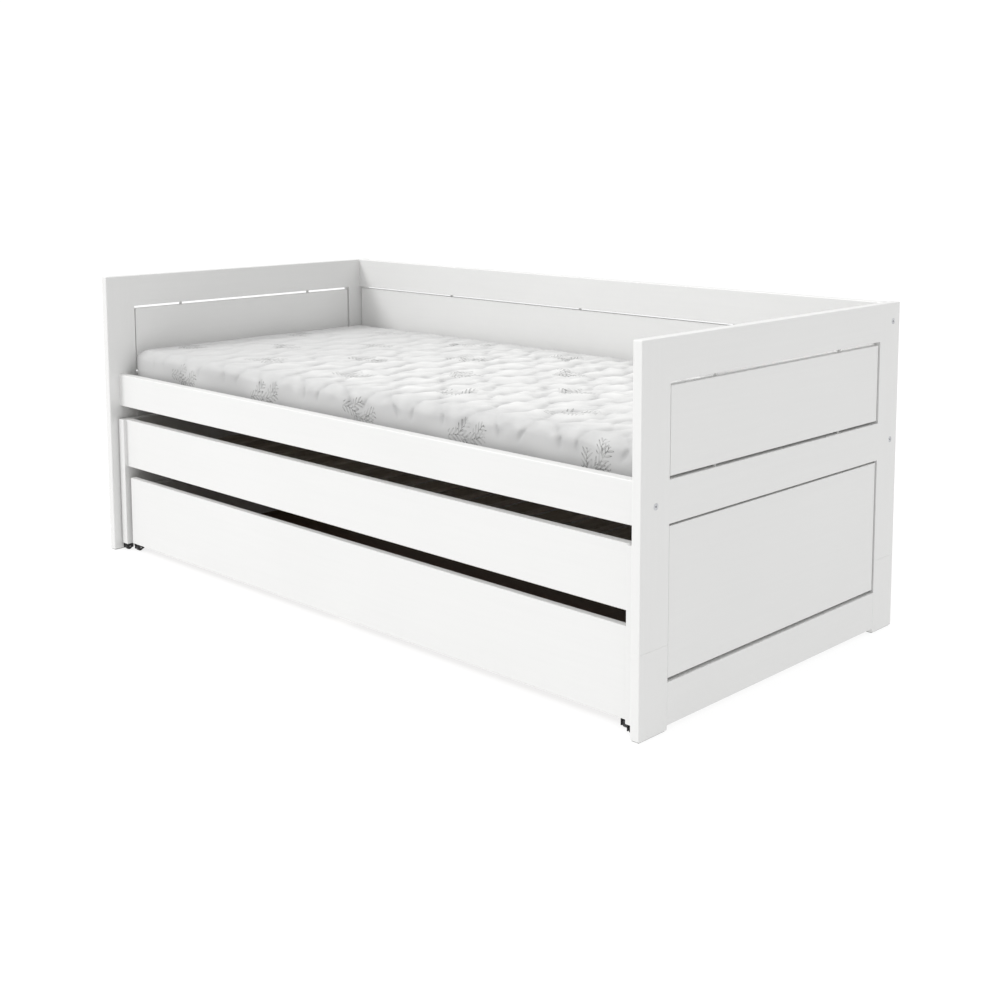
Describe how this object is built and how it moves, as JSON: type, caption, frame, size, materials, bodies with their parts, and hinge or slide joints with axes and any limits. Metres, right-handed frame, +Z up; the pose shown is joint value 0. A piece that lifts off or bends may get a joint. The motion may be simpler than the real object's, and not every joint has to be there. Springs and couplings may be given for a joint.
{
  "type": "trundle bed",
  "caption": "White frame-and-panel day bed with a quilted mattress, a pull-out guest bed on wheels and a storage drawer below it.",
  "frame": {"origin": "on the floor, below the middle of the bed's outer box", "axes": "+X along the length, from the left end frame to the right one; -Y is the open front, to which the guest bed and the drawer pull out; +Z up"},
  "size_m": [2.075, 1.015, 0.8325],
  "materials": {
    "white_lacquer": "satin white lacquer over boards",
    "natural_wood": "planed softwood, unfinished",
    "dowel_wood": "beech dowel, unfinished",
    "hardboard": "brown hardboard",
    "mattress_cover": "quilted jacquard ticking",
    "webbing": "woven polypropylene tape",
    "bolt_steel": "zinc-plated, satin",
    "zinc_steel": "zinc-plated",
    "axle_steel": "drawn bar",
    "housing_plastic": "black nylon",
    "wheel_plastic": "black nylon",
    "glide_plastic": "grey polyethylene"
  },
  "bodies": {
    "bed_frame": {"back_panel": "white_lacquer", "back_top_rail": "white_lacquer", "barrel_nuts": "zinc_steel", "bed_slat_tapes": "webbing", "bed_slats": "natural_wood", "connector_bolts": "bolt_steel", "foot_glides": "glide_plastic", "frame_dowels": "dowel_wood", "front_side_rail": "white_lacquer", "front_slat_ledger": "natural_wood", "ledger_screws": "zinc_steel", "left_bottom_rail": "white_lacquer", "left_front_foot": "white_lacquer", "left_front_post": "white_lacquer", "left_lower_panel": "white_lacquer", "left_middle_rail": "white_lacquer", "left_rear_foot": "white_lacquer", "left_rear_post": "white_lacquer", "left_top_rail": "white_lacquer", "left_upper_panel": "white_lacquer", "mattress": "mattress_cover", "panel_dowels": "white_lacquer", "rear_side_rail": "white_lacquer", "rear_slat_ledger": "natural_wood", "right_bottom_rail": "white_lacquer", "right_front_foot": "white_lacquer", "right_front_post": "white_lacquer", "right_lower_panel": "white_lacquer", "right_middle_rail": "white_lacquer", "right_rear_foot": "white_lacquer", "right_rear_post": "white_lacquer", "right_top_rail": "white_lacquer", "right_upper_panel": "white_lacquer"},
    "guest_bed": {"guest_barrel_nuts": "zinc_steel", "guest_connector_bolts": "bolt_steel", "guest_front_panel": "white_lacquer", "guest_left_board": "white_lacquer", "guest_rear_panel": "white_lacquer", "guest_right_board": "white_lacquer", "guest_slat_ledgers": "natural_wood", "guest_slat_tapes": "webbing", "guest_slats": "natural_wood", "guest_wheel_axles": "axle_steel", "guest_wheel_housings": "housing_plastic"},
    "drawer": {"drawer_back": "white_lacquer", "drawer_bottom": "hardboard", "drawer_centre_batten": "natural_wood", "drawer_front": "white_lacquer", "drawer_left_side": "white_lacquer", "drawer_right_side": "white_lacquer", "drawer_wheel_axles": "axle_steel", "drawer_wheel_housings": "housing_plastic"},
    "guest_wheel_left_front_body": {"guest_wheel_left_front": "wheel_plastic"},
    "guest_wheel_left_rear_body": {"guest_wheel_left_rear": "wheel_plastic"},
    "guest_wheel_right_front_body": {"guest_wheel_right_front": "wheel_plastic"},
    "guest_wheel_right_rear_body": {"guest_wheel_right_rear": "wheel_plastic"},
    "drawer_wheel_left_front_body": {"drawer_wheel_left_front": "wheel_plastic"},
    "drawer_wheel_left_rear_body": {"drawer_wheel_left_rear": "wheel_plastic"},
    "drawer_wheel_right_front_body": {"drawer_wheel_right_front": "wheel_plastic"},
    "drawer_wheel_right_rear_body": {"drawer_wheel_right_rear": "wheel_plastic"}
  },
  "joints": [
    {"name": "guest_bed_slide", "type": "slide", "parent": "bed_frame", "child": "guest_bed", "axis": [0, -1, 0], "range_m": [0, 0.95]},
    {"name": "drawer_slide", "type": "slide", "parent": "bed_frame", "child": "drawer", "axis": [0, -1, 0], "range_m": [0, 0.9]},
    {"name": "guest_wheel_left_front_spin", "type": "hinge", "parent": "guest_bed", "child": "guest_wheel_left_front_body", "pos_m": [-0.994, -0.472, 0.0103], "axis": [1, 0, 0], "continuous": true},
    {"name": "guest_wheel_left_rear_spin", "type": "hinge", "parent": "guest_bed", "child": "guest_wheel_left_rear_body", "pos_m": [-0.994, 0.4785, 0.0103], "axis": [1, 0, 0], "continuous": true},
    {"name": "guest_wheel_right_front_spin", "type": "hinge", "parent": "guest_bed", "child": "guest_wheel_right_front_body", "pos_m": [0.994, -0.472, 0.0103], "axis": [1, 0, 0], "continuous": true},
    {"name": "guest_wheel_right_rear_spin", "type": "hinge", "parent": "guest_bed", "child": "guest_wheel_right_rear_body", "pos_m": [0.994, 0.4785, 0.0103], "axis": [1, 0, 0], "continuous": true},
    {"name": "drawer_wheel_left_front_spin", "type": "hinge", "parent": "drawer", "child": "drawer_wheel_left_front_body", "pos_m": [-0.9565, -0.457, 0.0103], "axis": [1, 0, 0], "continuous": true},
    {"name": "drawer_wheel_left_rear_spin", "type": "hinge", "parent": "drawer", "child": "drawer_wheel_left_rear_body", "pos_m": [-0.9565, 0.445, 0.0103], "axis": [1, 0, 0], "continuous": true},
    {"name": "drawer_wheel_right_front_spin", "type": "hinge", "parent": "drawer", "child": "drawer_wheel_right_front_body", "pos_m": [0.9645, -0.457, 0.0103], "axis": [1, 0, 0], "continuous": true},
    {"name": "drawer_wheel_right_rear_spin", "type": "hinge", "parent": "drawer", "child": "drawer_wheel_right_rear_body", "pos_m": [0.9645, 0.445, 0.0103], "axis": [1, 0, 0], "continuous": true}
  ],
  "couplings": [
    {"joint": "guest_wheel_left_front_spin", "follows": "guest_bed_slide", "rad_per_m": 100},
    {"joint": "guest_wheel_left_rear_spin", "follows": "guest_bed_slide", "rad_per_m": 100},
    {"joint": "guest_wheel_right_front_spin", "follows": "guest_bed_slide", "rad_per_m": 100},
    {"joint": "guest_wheel_right_rear_spin", "follows": "guest_bed_slide", "rad_per_m": 100},
    {"joint": "drawer_wheel_left_front_spin", "follows": "drawer_slide", "rad_per_m": 100},
    {"joint": "drawer_wheel_left_rear_spin", "follows": "drawer_slide", "rad_per_m": 100},
    {"joint": "drawer_wheel_right_front_spin", "follows": "drawer_slide", "rad_per_m": 100},
    {"joint": "drawer_wheel_right_rear_spin", "follows": "drawer_slide", "rad_per_m": 100}
  ]
}
